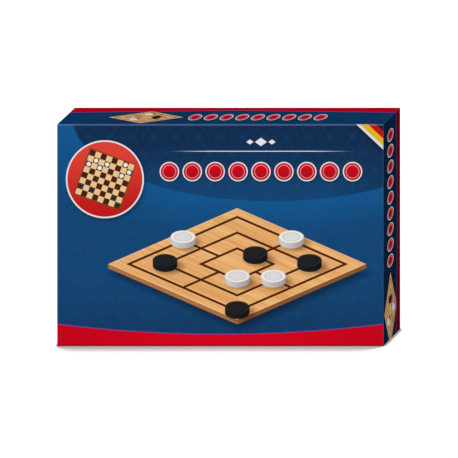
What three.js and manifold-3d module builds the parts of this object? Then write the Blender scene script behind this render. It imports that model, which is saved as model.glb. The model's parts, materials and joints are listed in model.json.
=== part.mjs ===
// A nine men's morris and draughts set in its cardboard box, closed and standing on its long side.
// The box is a lift-off lid over a tray. The tray holds three foam inserts, the folded playing
// board, the rules leaflet and two dozen turned wooden discs, the men, stacked in six wells.
// Millimetres. +Z is up, +X runs to the right as seen from the front, and the lid faces -Y.
// The origin is the middle of the closed box's underside.
import * as THREE from "three";
import { mergeVertices } from "three/addons/utils/BufferGeometryUtils.js";
import { RoundedBoxGeometry } from "three/addons/geometries/RoundedBoxGeometry.js";
import Module from "manifold-3d";

// The discs
const DISC_DIAMETER = 32;
const DISC_THICKNESS = 8;
const DISC_RING_WIDTH = 3.2; // flat ring round each face
const DISC_SLOPE = 1; // how far the face slopes in from the ring
const DISC_DISH = 0.7; // how deep each face is turned inside the ring
const DISC_EDGE = 0.7; // chamfer on the outer corner
const DISC_GAP = 0.3; // between two discs of a stack
const DISCS_IN_A_STACK = 4;
const STACKS_OF_EACH_COLOUR = 3;
const DISC_SEGMENTS = 24;

// The playing board, folded in half, with the morris side inside
const BOARD_SIDE = 320; // unfolded, square
const CORE_THICKNESS = 2; // grey board
const SHEET_PAPER = 0.3; // printed sheet on each side of the core
const SHEET_MARGIN = 0.8; // the draughts sheet stops this far inside the board's edge
const TAPE_THICKNESS = 0.25; // linen hinge tape
const TAPE_FLAP = 10; // width of the tape on each half
const TAPE_SLACK = 0.3; // between the two flaps when the board is shut
const TAPE_END = 1; // the tape stops this far inside the board's sides
const FOLD_SETBACK = 0.5; // from the fold line to each half's cut edge

// The rules leaflet, one sheet folded once
const LEAFLET_WIDTH = 210;
const LEAFLET_HEIGHT = 148;
const LEAFLET_PAPER = 0.25;
const LEAFLET_OPENING = 0.2; // between its two leaves

// The moulded foam inserts: one for the board, and one for the discs of each colour
const WELL_FLOOR = 2.4; // foam under a stack of discs
const INSERT_PLAY = 0.5; // to the tray's turned-in paper and to each other
const WELL_PLAY = 1; // between a disc and its well, all round
const WELL_WEB = 21; // between two wells
const WELL_SEGMENTS = 36;
const CHANNEL_WIDTH = 14; // finger channel across the wells
const CHANNEL_DEPTH = 14;
const CHANNEL_RUN = 12; // past the outer wells
const BOARD_PLAY = 1; // between the board and the sides of its recess
const BOARD_TOP_PLAY = 1.7; // above the board or the leaflet, whichever is taller
const BOARD_DROP = 0.3; // board's face below the insert's face
const NOTCH_REACH = 13; // finger notches beside the board, out from its recess
const NOTCH_UNDERCUT = 6; // and in under the board's edge
const NOTCH_WIDTH = 26;
const STACK_HEAD_ROOM = 0.8; // from the last disc of a stack to the insert's face
const INSERT_DROP = 0.5; // insert's face below the tray's rim
const MARGIN_BESIDE = 12.3; // outside the finger notches
const MARGIN_OVER_WELLS = 12.3; // and the same under them
const MARGIN_BEYOND_CHANNEL = 8; // at least
const MARGIN_BELOW_BOARD = 8.5;
const MARGIN_ABOVE_BOARD = 20;

// The lid and the tray, each a grey board shell covered with paper
const LID_BOARD = 1.5;
const TRAY_BOARD = 1.5;
const WRAP_PAPER = 0.3; // printed paper with its laminate
const TURN_IN = 15; // paper turned in over the open edge
const EDGE_SEGMENTS = 2;
const LID_PLAY = 0.7; // between the lid and the tray, all round
const RIM_GAP = 0.6; // from the tray's rim to the inside of the lid's panel
const TRAY_PROUD = 1; // the tray stands out of the lid's open edge
const STAY_ROOM = 0.3; // between the board and the paper, where the corner stays lie
const STAY_TAPE = 0.2;
const STAY_LEG = 18;
const STAY_END = 2; // the stays stop this far short of the panel and the open edge

// Common
const GLUE = 0.1; // a glued joint
const SEAT = 0.3; // a piece that lies loose on another
const OVERRUN = 5; // cuts run this far past what they cut

const WHITE_PAINT = { color: 0xe9e8e1, roughness: 0.5, metalness: 0 };
const BLACK_PAINT = { color: 0x1c1b1b, roughness: 0.5, metalness: 0 };
const GREY_BOARD = { color: 0x9a938a, roughness: 0.95, metalness: 0 };
const LID_PRINT = { color: 0x174a80, roughness: 0.4, metalness: 0 };
const TRAY_PRINT = { color: 0x14345e, roughness: 0.5, metalness: 0 };
const STAY_PAPER = { color: 0xb08d62, roughness: 0.9, metalness: 0 };
const FOAM = { color: 0x223047, roughness: 0.9, metalness: 0 };
const MORRIS_PRINT = { color: 0xe0ac6f, roughness: 0.5, metalness: 0 };
const DRAUGHTS_PRINT = { color: 0xc79460, roughness: 0.5, metalness: 0 };
const LINEN = { color: 0xd39d62, roughness: 0.9, metalness: 0 };
const LEAFLET_PRINT = { color: 0xf2f0ea, roughness: 0.7, metalness: 0 };

// Sizes that follow from the ones above
const discRadius = DISC_DIAMETER / 2;
const wellRadius = discRadius + WELL_PLAY;
const wellPitch = 2 * wellRadius + WELL_WEB;
const stackLength = DISCS_IN_A_STACK * DISC_THICKNESS + (DISCS_IN_A_STACK - 1) * DISC_GAP;
const channelLength = (STACKS_OF_EACH_COLOUR - 1) * wellPitch + 2 * (wellRadius + CHANNEL_RUN);

const sheetStack = SHEET_PAPER + GLUE;
const halfThickness = CORE_THICKNESS + 2 * sheetStack;
const foldGap = 2 * (GLUE + TAPE_THICKNESS) + TAPE_SLACK;
const foldedThickness = 2 * halfThickness + foldGap;
const leafletThickness = 2 * LEAFLET_PAPER + LEAFLET_OPENING;
const halfHeight = BOARD_SIDE / 2;
const recessWidth = Math.max(BOARD_SIDE, LEAFLET_WIDTH) + 2 * BOARD_PLAY;
const recessHeight = SEAT + Math.max(halfHeight, LEAFLET_HEIGHT) + BOARD_TOP_PLAY;
const recessDepth = BOARD_DROP + foldedThickness + SEAT + leafletThickness + SEAT;

const insertWidth = Math.max(
  recessWidth + 2 * NOTCH_REACH + 2 * MARGIN_BESIDE,
  2 * (channelLength + 2 * MARGIN_BEYOND_CHANNEL) + INSERT_PLAY,
);
const discInsertWidth = (insertWidth - INSERT_PLAY) / 2;
const discInsertHeight = 2 * (MARGIN_OVER_WELLS + wellRadius);
const boardInsertHeight = MARGIN_BELOW_BOARD + recessHeight + MARGIN_ABOVE_BOARD;
const insertHeight = discInsertHeight + INSERT_PLAY + boardInsertHeight;

// Distances in from the face of a paper-covered wall
const paperInside = WRAP_PAPER;
const boardOutside = paperInside + STAY_ROOM;
const lidPanel = boardOutside + LID_BOARD;
const trayPanel = boardOutside + TRAY_BOARD;
const lidLip = lidPanel + GLUE + WRAP_PAPER;
const trayLip = trayPanel + GLUE + WRAP_PAPER;
const edgeRound = 2 * WRAP_PAPER;

// Outlines from the inside out. Each is centred on x = 0.
const sideWall = INSERT_PLAY + trayLip + LID_PLAY + lidLip;
const BOX_WIDTH = insertWidth + 2 * sideWall;
const BOX_HEIGHT = insertHeight + 2 * sideWall;
const insertDepth = stackLength + 2 * SEAT + WELL_FLOOR + STACK_HEAD_ROOM;
const BOX_DEPTH = lidPanel + RIM_GAP + INSERT_DROP + insertDepth + trayPanel;

const trayInset = lidLip + LID_PLAY;
const lidShell = {
  width: BOX_WIDTH,
  height: BOX_HEIGHT,
  bottom: 0,
  closedEnd: -BOX_DEPTH / 2,
  towardsMouth: 1,
  depth: BOX_DEPTH - TRAY_PROUD,
  board: LID_BOARD,
};
const trayShell = {
  width: BOX_WIDTH - 2 * trayInset,
  height: BOX_HEIGHT - 2 * trayInset,
  bottom: trayInset,
  closedEnd: BOX_DEPTH / 2,
  towardsMouth: -1,
  depth: BOX_DEPTH - lidPanel - RIM_GAP,
  board: TRAY_BOARD,
};

// Planes across the depth
const insertFace = -BOX_DEPTH / 2 + lidPanel + RIM_GAP + INSERT_DROP;
const insertBack = BOX_DEPTH / 2 - trayPanel - SEAT;
const wellFloor = insertBack - WELL_FLOOR;
const recessFloor = insertFace + recessDepth;
const channelFloor = insertFace + CHANNEL_DEPTH;
const boardFace = insertFace + BOARD_DROP;
const foldPlane = boardFace + halfThickness + foldGap / 2;
const leafletFace = boardFace + foldedThickness + SEAT;

// Heights
const insertBottom = sideWall;
const wellCentre = insertBottom + MARGIN_OVER_WELLS + wellRadius;
const discCentre = wellCentre - (WELL_PLAY - SEAT);
const boardInsertBottom = insertBottom + discInsertHeight + INSERT_PLAY;
const recessBottom = boardInsertBottom + MARGIN_BELOW_BOARD;
const boardBottom = recessBottom + SEAT;
const foldLine = boardBottom + halfHeight;

const wasm = await Module();
wasm.setup();

const model = new THREE.Group();

// A solid from a closed three.js geometry.
function solid(geometry) {
  const bare = geometry.index ? geometry.toNonIndexed() : geometry.clone();
  bare.deleteAttribute("normal");
  bare.deleteAttribute("uv");
  const merged = mergeVertices(bare);
  return new wasm.Manifold(
    new wasm.Mesh({
      numProp: 3,
      vertProperties: merged.attributes.position.array,
      triVerts: new Uint32Array(merged.index.array),
    }),
  );
}

// A geometry from a solid.
function geometryOf(made) {
  const mesh = made.getMesh();
  const geometry = new THREE.BufferGeometry();
  geometry.setAttribute("position", new THREE.BufferAttribute(mesh.vertProperties, mesh.numProp));
  geometry.setIndex(new THREE.BufferAttribute(mesh.triVerts, 1));
  geometry.computeVertexNormals();
  return geometry;
}

function add(name, geometry, finish) {
  const mesh = new THREE.Mesh(geometry, new THREE.MeshStandardMaterial(finish));
  mesh.name = name;
  model.add(mesh);
  return mesh;
}

// A block between two places on each axis.
function slab([x0, x1], [y0, y1], [z0, z1]) {
  const geometry = new THREE.BoxGeometry(x1 - x0, Math.abs(y1 - y0), z1 - z0);
  return solid(geometry.translate((x0 + x1) / 2, (y0 + y1) / 2, (z0 + z1) / 2));
}

// A round bar along Y, from y0 to y1.
function bar(radius, segments, [y0, y1], x, z) {
  const geometry = new THREE.CylinderGeometry(radius, radius, y1 - y0, segments);
  return solid(geometry.translate(x, (y0 + y1) / 2, z));
}

// The outline of a shell drawn in by inset, from one distance behind its closed end to another.
function shellBlock(shell, inset, from, to, round = 0) {
  const width = shell.width - 2 * inset;
  const height = shell.height - 2 * inset;
  const length = to - from;
  const geometry = round
    ? new RoundedBoxGeometry(width, length, height, EDGE_SEGMENTS, round)
    : new THREE.BoxGeometry(width, length, height);
  const middle = shell.closedEnd + shell.towardsMouth * (from + length / 2);
  return solid(geometry.translate(0, middle, shell.bottom + shell.height / 2));
}

// The grey board of a lid or tray: a panel and four walls, scored and folded up from one blank.
function shellBoard(shell) {
  const panel = boardOutside + shell.board;
  const edge = shell.depth - WRAP_PAPER - GLUE;
  return shellBlock(shell, boardOutside, boardOutside, edge).subtract(
    shellBlock(shell, panel, panel, shell.depth + OVERRUN),
  );
}

// The paper of a lid or tray: round the outside, over the open edge and a little way back inside.
function shellWrap(shell) {
  const panel = boardOutside + shell.board;
  const lipOutside = panel + GLUE;
  const lipInside = lipOutside + WRAP_PAPER;
  const edgeInside = shell.depth - WRAP_PAPER;
  const lip = shellBlock(shell, lipOutside, shell.depth - TURN_IN, shell.depth - paperInside / 2);
  return shellBlock(shell, 0, 0, shell.depth, edgeRound)
    .subtract(shellBlock(shell, paperInside, paperInside, edgeInside))
    .add(lip)
    .subtract(shellBlock(shell, lipInside, paperInside, shell.depth + OVERRUN));
}

// An L of tape round one corner of the board, under the paper.
function cornerStay(shell, right, up) {
  const outside = paperInside + (STAY_ROOM - STAY_TAPE) / 2;
  const from = boardOutside + STAY_END;
  const to = shell.depth - WRAP_PAPER - GLUE - STAY_END;
  const tube = shellBlock(shell, outside, from, to).subtract(
    shellBlock(shell, outside + STAY_TAPE, from - OVERRUN, to + OVERRUN),
  );
  const x = (right * shell.width) / 2;
  const z = shell.bottom + (up > 0 ? shell.height : 0);
  const reachX = [x, x - right * (outside + STAY_LEG)].sort((a, b) => a - b);
  const reachZ = [z, z - up * (outside + STAY_LEG)].sort((a, b) => a - b);
  const y = shell.closedEnd;
  return tube.intersect(slab(reachX, [y - shell.depth, y + shell.depth], reachZ));
}

const CORNERS = [
  ["lower_left", -1, -1],
  ["lower_right", 1, -1],
  ["upper_left", -1, 1],
  ["upper_right", 1, 1],
];

const DISC_COLOURS = [
  ["white", -1, WHITE_PAINT],
  ["black", 1, BLACK_PAINT],
];

function addShell(name, shell, print) {
  add(`${name}_board`, geometryOf(shellBoard(shell)), GREY_BOARD);
  add(`${name}_wrap`, geometryOf(shellWrap(shell)), print);
  for (const [corner, right, up] of CORNERS) {
    add(`${name}_stay_${corner}`, geometryOf(cornerStay(shell, right, up)), STAY_PAPER);
  }
}

// x of a disc insert's middle: side is -1 for the white discs, on the left, and 1 for the black ones
function discInsertX(side) {
  return (side * (discInsertWidth + INSERT_PLAY)) / 2;
}

// x of a well's centre, counted from the left of its insert
function wellX(side, well) {
  return discInsertX(side) + (well - (STACKS_OF_EACH_COLOUR - 1) / 2) * wellPitch;
}

// The board's recess, and the finger notches, which go as deep as the wells
function boardHollows() {
  const side = recessWidth / 2;
  const middle = recessBottom + recessHeight / 2;
  const inner = side - NOTCH_UNDERCUT;
  const outer = side + NOTCH_REACH;
  const depth = [insertFace - OVERRUN, wellFloor];
  const heights = [middle - NOTCH_WIDTH / 2, middle + NOTCH_WIDTH / 2];
  return slab(
    [-side, side],
    [insertFace - OVERRUN, recessFloor],
    [recessBottom, recessBottom + recessHeight],
  )
    .add(slab([-outer, -inner], depth, heights))
    .add(slab([inner, outer], depth, heights));
}

// The wells of one colour and the finger channel across them
function discHollows(side) {
  const x = discInsertX(side);
  const channelX = channelLength / 2;
  const channelZ = CHANNEL_WIDTH / 2;
  let hollows = slab(
    [x - channelX, x + channelX],
    [insertFace - OVERRUN, channelFloor],
    [wellCentre - channelZ, wellCentre + channelZ],
  );
  const reach = [insertFace - OVERRUN, wellFloor];
  for (let well = 0; well < STACKS_OF_EACH_COLOUR; well++) {
    hollows = hollows.add(bar(wellRadius, WELL_SEGMENTS, reach, wellX(side, well), wellCentre));
  }
  return hollows;
}

// A block of foam from the tray's floor up to the inserts' face, with its hollows moulded in.
function foamInsert(middle, width, bottom, height, hollows) {
  const reachX = [middle - width / 2, middle + width / 2];
  return slab(reachX, [insertFace, insertBack], [bottom, bottom + height]).subtract(hollows);
}

function addInserts() {
  const forBoard = foamInsert(
    0,
    insertWidth,
    boardInsertBottom,
    boardInsertHeight,
    boardHollows(),
  );
  add("board_insert", geometryOf(forBoard), FOAM);
  for (const [colour, side] of DISC_COLOURS) {
    const forDiscs = foamInsert(
      discInsertX(side),
      discInsertWidth,
      insertBottom,
      discInsertHeight,
      discHollows(side),
    );
    add(`${colour}_disc_insert`, geometryOf(forDiscs), FOAM);
  }
}

// Half of the playing board as it lies when folded. towardsFold is the way from the half to the fold
// plane along Y: 1 for the front half, -1 for the rear one.
function addBoardHalf(name, towardsFold) {
  const at = (distance) => foldPlane - towardsFold * (foldGap / 2 + distance);
  const between = (from, to) => [at(from), at(to)].sort((a, b) => a - b);
  const side = BOARD_SIDE / 2;
  const cut = foldLine - FOLD_SETBACK;
  const corner = SHEET_PAPER;
  const coreInset = SHEET_PAPER + GLUE;

  // The morris sheet covers the inner face and turns over the three outer edges.
  const coreFar = sheetStack + CORE_THICKNESS;
  const sheet = slab([-side, side], between(0, coreFar), [boardBottom, cut]).subtract(
    slab(
      [-side + corner, side - corner],
      between(SHEET_PAPER, coreFar + OVERRUN),
      [boardBottom + corner, cut + OVERRUN],
    ),
  );
  add(`${name}_morris_sheet`, geometryOf(sheet), MORRIS_PRINT);

  const core = slab(
    [-side + coreInset, side - coreInset],
    between(sheetStack, coreFar),
    [boardBottom + coreInset, cut],
  );
  add(`${name}_core`, geometryOf(core), GREY_BOARD);

  const draughts = slab(
    [-side + SHEET_MARGIN, side - SHEET_MARGIN],
    between(coreFar + GLUE, coreFar + sheetStack),
    [boardBottom + SHEET_MARGIN, cut],
  );
  add(`${name}_draughts_sheet`, geometryOf(draughts), DRAUGHTS_PRINT);
}

// The linen tape that joins the two halves, shut like a U between them.
function hingeTape() {
  const outside = foldGap / 2 - GLUE;
  const inside = outside - TAPE_THICKNESS;
  const side = BOARD_SIDE / 2 - TAPE_END;
  const bottom = foldLine - TAPE_FLAP;
  const tape = slab([-side, side], [foldPlane - outside, foldPlane + outside], [bottom, foldLine]);
  return tape.subtract(
    slab(
      [-side - OVERRUN, side + OVERRUN],
      [foldPlane - inside, foldPlane + inside],
      [bottom - OVERRUN, foldLine - TAPE_THICKNESS],
    ),
  );
}

// The leaflet stands on the recess's lower side behind the board, with its fold on the left.
function leaflet() {
  const side = LEAFLET_WIDTH / 2;
  const top = boardBottom + LEAFLET_HEIGHT;
  return slab([-side, side], [leafletFace, leafletFace + leafletThickness], [boardBottom, top]).subtract(
    slab(
      [-side + LEAFLET_PAPER, side + OVERRUN],
      [leafletFace + LEAFLET_PAPER, leafletFace + leafletThickness - LEAFLET_PAPER],
      [boardBottom - OVERRUN, top + OVERRUN],
    ),
  );
}

// A disc turned about Y: both faces dished inside a flat ring.
function discGeometry() {
  const half = DISC_THICKNESS / 2;
  const ringInside = discRadius - DISC_RING_WIDTH;
  const face = [
    [0, half - DISC_DISH],
    [ringInside - DISC_SLOPE, half - DISC_DISH],
    [ringInside, half],
    [discRadius - DISC_EDGE, half],
    [discRadius, half - DISC_EDGE],
  ];
  const lower = face.map(([r, y]) => new THREE.Vector2(r, -y));
  const upper = face.map(([r, y]) => new THREE.Vector2(r, y)).reverse();
  return new THREE.LatheGeometry([...lower, ...upper], DISC_SEGMENTS);
}

// Four discs to a well, numbered from its floor: white in the wells on the left, black on the right.
function addDiscs() {
  const shape = discGeometry();
  const deepest = wellFloor - SEAT - DISC_THICKNESS / 2;
  for (const [colour, side, paint] of DISC_COLOURS) {
    for (let well = 0; well < STACKS_OF_EACH_COLOUR; well++) {
      for (let place = 0; place < DISCS_IN_A_STACK; place++) {
        const number = String(well * DISCS_IN_A_STACK + place + 1).padStart(2, "0");
        const y = deepest - place * (DISC_THICKNESS + DISC_GAP);
        const disc = add(`${colour}_disc_${number}`, shape, paint);
        disc.position.set(wellX(side, well), y, discCentre);
      }
    }
  }
}

addShell("lid", lidShell, LID_PRINT);
addShell("tray", trayShell, TRAY_PRINT);
addInserts();
addBoardHalf("board_front", 1);
addBoardHalf("board_rear", -1);
add("board_hinge_tape", geometryOf(hingeTape()), LINEN);
add("rules_leaflet", geometryOf(leaflet()), LEAFLET_PRINT);
addDiscs();

export default model;
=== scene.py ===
# The looks of a nine men's morris and draughts set in its cardboard box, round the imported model.
# The closed box stands on its long side. The lid faces -Y, the tray's back faces +Y, +Z is up.
# Meshes are in metres. Prints and finishes are drawn in millimetres, at the same places.
import json
import math
import random
from functools import partial, reduce

import bmesh
import bpy
from mathutils import Matrix, Vector


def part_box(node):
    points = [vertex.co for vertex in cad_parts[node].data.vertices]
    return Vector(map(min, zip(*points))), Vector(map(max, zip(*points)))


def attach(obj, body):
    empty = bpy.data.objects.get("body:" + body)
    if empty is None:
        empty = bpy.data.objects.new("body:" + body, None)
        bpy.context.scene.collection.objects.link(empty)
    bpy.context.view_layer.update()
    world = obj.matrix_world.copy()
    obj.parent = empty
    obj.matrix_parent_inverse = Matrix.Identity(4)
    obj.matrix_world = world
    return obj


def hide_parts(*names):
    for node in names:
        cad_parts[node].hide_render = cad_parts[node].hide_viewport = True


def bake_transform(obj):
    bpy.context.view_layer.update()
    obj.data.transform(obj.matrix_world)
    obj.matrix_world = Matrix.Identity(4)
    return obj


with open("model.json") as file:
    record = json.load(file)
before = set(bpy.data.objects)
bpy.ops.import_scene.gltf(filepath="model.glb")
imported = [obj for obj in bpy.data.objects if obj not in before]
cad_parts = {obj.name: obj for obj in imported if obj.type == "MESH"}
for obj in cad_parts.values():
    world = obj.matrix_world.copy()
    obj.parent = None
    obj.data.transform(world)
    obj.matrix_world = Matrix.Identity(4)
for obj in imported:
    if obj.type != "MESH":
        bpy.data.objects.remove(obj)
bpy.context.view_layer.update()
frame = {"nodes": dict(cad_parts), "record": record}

scene = bpy.context.scene
slot_of = {part["node"]: part["material_slot"] for part in frame["record"]["subparts"]}
MM = 0.001

# Sizes that the CAD holds, in metres
PAPER = 0.3 * MM  # printed paper of the lid and tray, with its laminate
LIP = 2.5 * MM  # from a wall's face to the inside of the turned-in paper
TURN_IN = 15 * MM

# Sizes that the CAD holds, in millimetres
HALF_WIDTH, HALF_DEPTH, HEIGHT = 192.5, 21.0, 262.0  # of the closed box
LID_DEPTH = 41.0
BOARD_REACH = 160.0  # half the open board's side
FOLD_Z = 234.1  # fold line of the board
FOLD_Y = -14.2  # plane between its two halves


def ink(red, green, blue):
    """A printed colour, from the usual 0 to 255 values."""

    def linear(level):
        level /= 255
        return level / 12.92 if level <= 0.04045 else ((level + 0.055) / 1.055) ** 2.4

    return (linear(red), linear(green), linear(blue), 1.0)


# ---- values in node trees


def arithmetic(operation, swapped=False):
    """An operator of Wire, which adds a Math node."""

    def method(self, other):
        return maths(operation, *((other, self) if swapped else (self, other)))

    return method


class Wire:
    """A value that leaves a node. Arithmetic on it adds Math nodes."""

    def __init__(self, socket):
        self.socket = socket
        self.tree = socket.id_data

    __add__ = __radd__ = arithmetic("ADD")
    __sub__ = arithmetic("SUBTRACT")
    __rsub__ = arithmetic("SUBTRACT", swapped=True)
    __mul__ = __rmul__ = arithmetic("MULTIPLY")
    __truediv__ = arithmetic("DIVIDE")
    __mod__ = arithmetic("FLOORED_MODULO")

    def __neg__(self):
        return maths("SUBTRACT", 0, self)

    def __abs__(self):
        return maths("ABSOLUTE", self)


def feed(socket, value):
    if isinstance(value, Wire):
        value.tree.links.new(value.socket, socket)
    else:
        socket.default_value = value


def added(tree, kind, settings=None, **inputs):
    """Adds a node. An input named From_Min is its socket From Min."""
    node = tree.nodes.new(kind)
    for name, value in (settings or {}).items():
        setattr(node, name, value)
    for name, value in inputs.items():
        feed(node.inputs[name.replace("_", " ")], value)
    return node


def worked_out(kind, settings, values, tree=None):
    """What leaves a node whose inputs take values in their order. It joins the tree that the
    values come from, so at least one of them is a wire if no tree is given."""
    tree = tree or next(value.tree for value in values if isinstance(value, Wire))
    node = added(tree, kind, settings)
    for socket, value in zip(node.inputs, values):
        feed(socket, value)
    return [Wire(socket) for socket in node.outputs]


def maths(operation, *values, clamp=False):
    return worked_out("ShaderNodeMath", {"operation": operation, "use_clamp": clamp}, values)[0]


def vector_maths(operation, *vectors):
    return worked_out("ShaderNodeVectorMath", {"operation": operation}, vectors)[0]


exceeds = partial(maths, "GREATER_THAN")
floor_of = partial(maths, "FLOOR")
cosine = partial(maths, "COSINE")
sine = partial(maths, "SINE")


def greatest(*values):
    return reduce(partial(maths, "MAXIMUM"), values)


def least(*values):
    return reduce(partial(maths, "MINIMUM"), values)


def distance(x, y):
    return maths("SQRT", x * x + y * y)


def inside(away, blur=0.2):
    """1 where away is below zero, with an edge as soft as blur."""
    return maths("SUBTRACT", 0.5, away / blur, clamp=True)


def ramp(value, start, end):
    """0 at start, 1 at end, eased."""
    settings = {"interpolation_type": "SMOOTHSTEP"}
    ends = {"From_Min": start, "From_Max": end}
    node = added(value.tree, "ShaderNodeMapRange", settings, Value=value, **ends)
    return Wire(node.outputs["Result"])


def mixed(factor, below, above):
    """The colour above laid over the colour below, as far as factor says."""
    colours = {"A": below, "B": above}
    node = added(factor.tree, "ShaderNodeMix", {"data_type": "RGBA"}, Factor=factor, **colours)
    return Wire(node.outputs["Result"])


def layered(colour, *layers):
    """The colour with layers over it, each one given as a share and a colour of its own."""
    for share, above in layers:
        colour = mixed(share, colour, above)
    return colour


def joined(x, y, z=0.0):
    return worked_out("ShaderNodeCombineXYZ", {}, (x, y, z))[0]


def split(vector):
    return worked_out("ShaderNodeSeparateXYZ", {}, (vector,))


def stretched(vector, *scale):
    return vector_maths("MULTIPLY", vector, scale)


def noise(vector, scale=1.0, detail=2.0, rough=0.5):
    values = {"Vector": vector, "Scale": scale, "Detail": detail, "Roughness": rough}
    return Wire(added(vector.tree, "ShaderNodeTexNoise", **values).outputs["Fac"])


def chance(vector):
    """A random number for each whole-numbered place."""
    return Wire(added(vector.tree, "ShaderNodeTexWhiteNoise", Vector=vector).outputs["Value"])


SOCKET_OF_LENGTH = {1: "NodeSocketFloat", 3: "NodeSocketVector", 4: "NodeSocketColor"}
SOCKET_OF_TYPE = {
    "VALUE": "NodeSocketFloat",
    "VECTOR": "NodeSocketVector",
    "RGBA": "NodeSocketColor",
}
ORIGIN = (0.0, 0.0, 0.0)
BLACK = (0.0, 0.0, 0.0, 1.0)


def shader_group(name, **inputs):
    """Makes a node group of the function below it, which takes the group's inputs in their order
    and returns its outputs. inputs holds a plain value of each one's kind. From then on, calling
    the function places the group, and returns its output, or a list if it has several."""

    def built(draw):
        tree = bpy.data.node_groups.new(name, "ShaderNodeTree")
        defaults = {label.replace("_", " "): value for label, value in inputs.items()}
        for label, default in defaults.items():
            kind = SOCKET_OF_LENGTH[len(default) if isinstance(default, tuple) else 1]
            socket = tree.interface.new_socket(label, in_out="INPUT", socket_type=kind)
            socket.default_value = default
        start = tree.nodes.new("NodeGroupInput")
        results = draw(*[Wire(start.outputs[label]) for label in defaults])
        for label, wire in results.items():
            kind = SOCKET_OF_TYPE[wire.socket.type]
            tree.interface.new_socket(label, in_out="OUTPUT", socket_type=kind)
        end = tree.nodes.new("NodeGroupOutput")
        for label, wire in results.items():
            tree.links.new(wire.socket, end.inputs[label])

        def placed(*values):
            outputs = worked_out("ShaderNodeGroup", {"node_tree": tree}, values)
            return outputs if len(outputs) > 1 else outputs[0]

        return placed

    return built


# ---- effects that finishes share


@shader_group("wood_grain", Place=ORIGIN, Light=BLACK, Dark=BLACK)
def wood(place, light, dark):
    """Straight-grained wood. place is in millimetres, with the grain along its first axis."""
    bands = noise(stretched(place, 0.006, 0.16, 0.16), detail=3)
    fibres = noise(stretched(place, 0.04, 2.2, 2.2), detail=4, rough=0.7)
    pores = inside(noise(stretched(place, 0.12, 3.5, 3.5), detail=1) - 0.33, 0.08)
    tone = ramp(bands * 0.65 + fibres * 0.35, 0.3, 0.72)
    colour = layered(light, (tone, dark), (pores * 0.35, dark))
    return {"Color": colour, "Grain": fibres - pores * 0.5}


def wooden(place, light, dark=ink(212, 154, 98)):
    return wood(place, light, dark)[0]


@shader_group("coated_paper", Place=ORIGIN, Grain=0.0)
def paper(place, grain):
    """A coated sheet: faint fibres under the laminate, and a slight orange peel on it."""
    fibres = noise(stretched(place, 1.1, 1.1, 1.1), detail=5, rough=0.65)
    peel = noise(stretched(place, 0.32, 0.32, 0.32), detail=1)
    return {"Height": fibres * grain + peel, "Fibres": fibres}


@shader_group("edge_wear", Place=ORIGIN, Middle=ORIGIN, Half_Size=ORIGIN, Reach=0.0)
def edge_wear(place, middle, half_size, reach):
    """How worn a box's folded edges are, with place, middle, half size and reach in millimetres."""
    away = [abs(value) for value in split(vector_maths("SUBTRACT", place, middle))]
    x, y, z = [limit - value for limit, value in zip(split(half_size), away)]
    x, y, z = greatest(x, 0), greatest(y, 0), greatest(z, 0)
    edge = least(x + y, y + z, x + z)
    rubbed = noise(place, scale=0.05, detail=3, rough=0.6)
    return {"Wear": inside(edge / reach - 0.45 - rubbed * 0.5, 0.9)}


@shader_group("mill_lines", X=0.0, Y=0.0, Width=0.0)
def mill(x, y, width):
    """The lines of a nine men's morris board. The outer square runs from -1 to 1."""
    across, up = abs(x), abs(y)
    out = greatest(across, up)
    squares = least(abs(out - 1), abs(out - 2 / 3), abs(out - 1 / 3))
    spokes = greatest(least(across, up), abs(out - 2 / 3) - 1 / 3)
    return {"Line": inside(least(squares, spokes) - width / 2, 0.012)}


@shader_group("checks", X=0.0, Y=0.0)
def checks(x, y):
    """Squares of one unit, dark and light in turn."""
    return {"Dark": (floor_of(x) + floor_of(y)) % 2.0}


@shader_group("ornament", X=0.0, Y=0.0)
def ornament(x, y):
    """A traditional lattice of curved lozenges, each with a four-petalled flower in it."""
    across, up = x * math.pi, y * math.pi
    bow = cosine(across) + cosine(up) * 0.8 + cosine(up * 3) * 0.12
    lattice = inside(abs(bow) - 0.07, 0.08) + inside(abs(abs(bow) - 0.34) - 0.02, 0.05) * 0.6
    row = floor_of(y + 0.5)
    local_x = ((x + row) % 2.0) - 1
    local_x = abs(local_x) - 1 * exceeds(abs(local_x), 0.5)
    local_y = ((y + 0.5) % 1.0) - 0.5
    away = distance(local_x, local_y)
    petals = cosine(maths("ARCTAN2", local_y, local_x) * 4) * 0.11 + 0.24
    flower = inside(abs(away - petals) - 0.018, 0.03) + inside(away - 0.075, 0.03)
    return {"Shape": least(lattice + flower, 1)}


LATTICE_WIDTH, LATTICE_HEIGHT = 13.0, 19.0  # of a lozenge, in millimetres
LATTICE_BLUE = ink(24, 104, 166)
SHADOW = ink(3, 12, 26)


def lattice_on(x, y):
    return ornament(x / LATTICE_WIDTH, y / LATTICE_HEIGHT)


ROUNDEL_RED, ROUNDEL_RIM = ink(212, 8, 32), ink(236, 232, 232)


@shader_group("printed_roundel", X=0.0, Y=0.0, Radius=0.0, Below=BLACK)
def roundel(x, y, radius, below):
    """A printed disc with a pale rim and a soft shadow, over the colour below."""
    shadow = inside(distance(x - 0.9, y + 1.1) - radius, 2.4)
    away = distance(x, y) - radius
    shade = ramp(y / radius, -1.1, 1.0)
    ring = inside(abs(away + radius * 0.34) - radius * 0.035)
    colour = layered(
        below,
        (shadow * 0.6, ink(4, 12, 26)),
        (inside(away), ROUNDEL_RIM),
        (inside(away + radius * 0.12), mixed((1 - shade) * 0.35, ROUNDEL_RED, BLACK)),
        (ring * 0.4, ROUNDEL_RIM),
    )
    return {"Color": colour}


def ellipse(x, y, width, height):
    """Distance outside an ellipse, about right near its edge."""
    return (distance(x / width, y / height) - 1) * height


MAN_WIDTH, MAN_HEIGHT, MAN_SIDE = 14.5, 7.4, 6.4  # half axes of a pictured man and its side


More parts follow.
